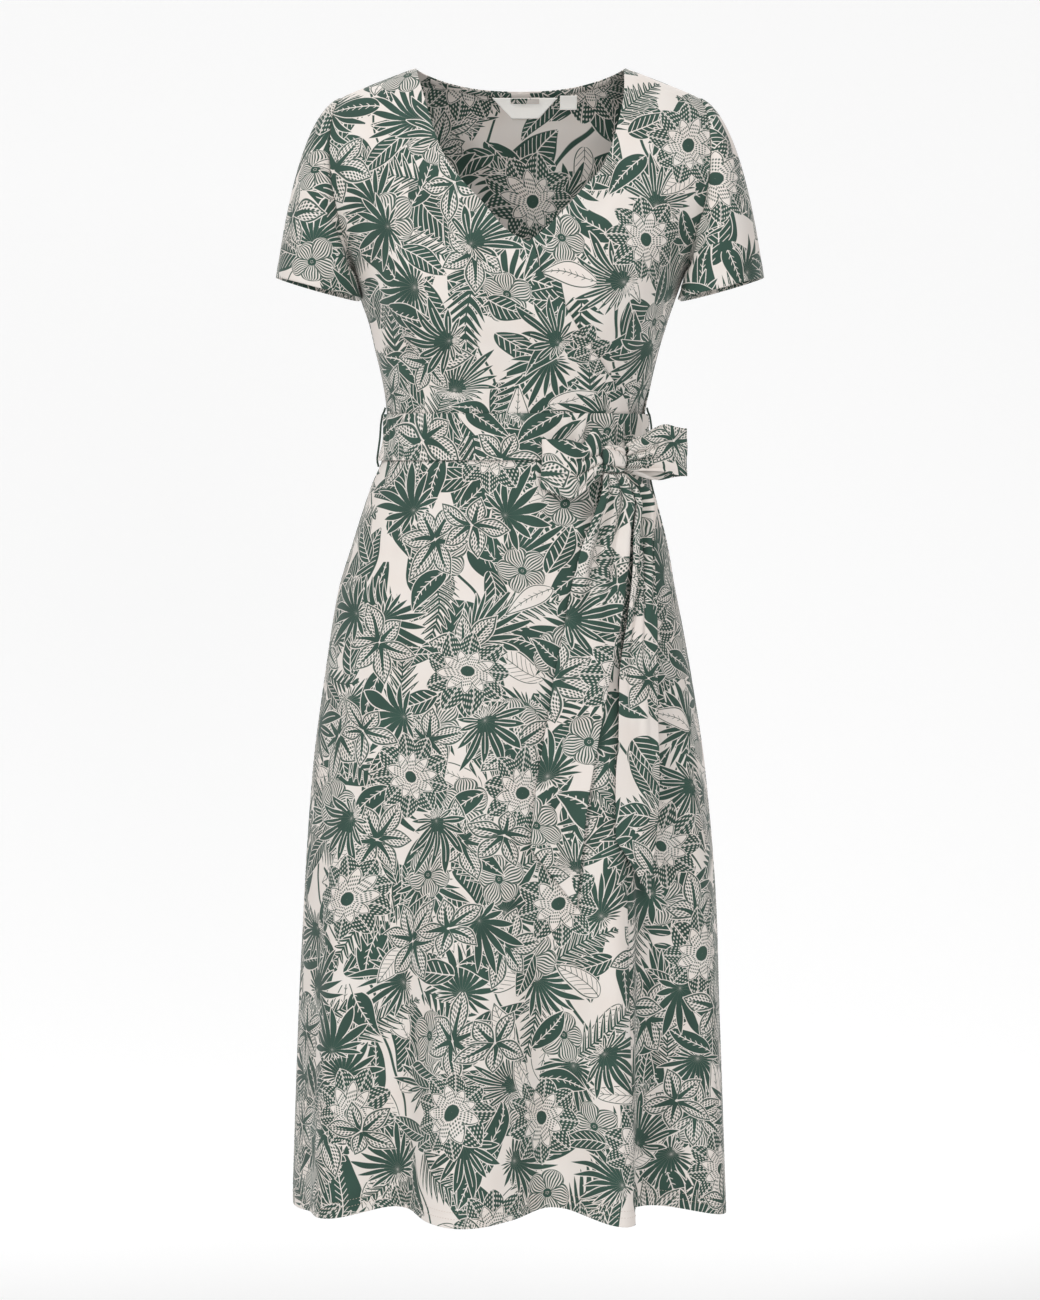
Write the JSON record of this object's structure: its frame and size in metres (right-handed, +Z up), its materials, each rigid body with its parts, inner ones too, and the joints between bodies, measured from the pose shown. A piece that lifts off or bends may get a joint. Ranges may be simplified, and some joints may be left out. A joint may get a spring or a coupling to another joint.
{
  "type": "wrap dress",
  "caption": "Short-sleeved midi wrap dress, filled out as when worn: V neck, crossed front, tie belt with a side bow, and a softly fluted skirt",
  "frame": {"origin": "Midway between the middles of the two shoulder seams, where a wearer's shoulders or a hanger carry the dress.", "axes": "+Z up to the neck and down to the hem along -Z, +X to the wearer's left, and the front of the dress faces -Y."},
  "size_m": [0.4828, 0.3615, 1.1376],
  "materials": {
    "print": "matt printed jersey",
    "thread": "twisted thread",
    "label": "smooth plain tape"
  },
  "bodies": {
    "root": {"back_bodice": "print", "left_front_bodice": "print", "right_front_bodice": "print", "left_sleeve": "print", "right_sleeve": "print", "back_skirt": "print", "left_front_skirt": "print", "right_front_skirt": "print", "waist_belt": "print", "bow_knot": "print", "bow_loop_side": "print", "bow_loop_front": "print", "tie_tail_long": "print", "tie_tail_short": "print", "belt_loop_left": "thread", "belt_loop_right": "thread", "back_neck_binding": "print", "neck_label": "label", "hanger_tab": "print", "size_tab": "label"}
  },
  "joints": []
}
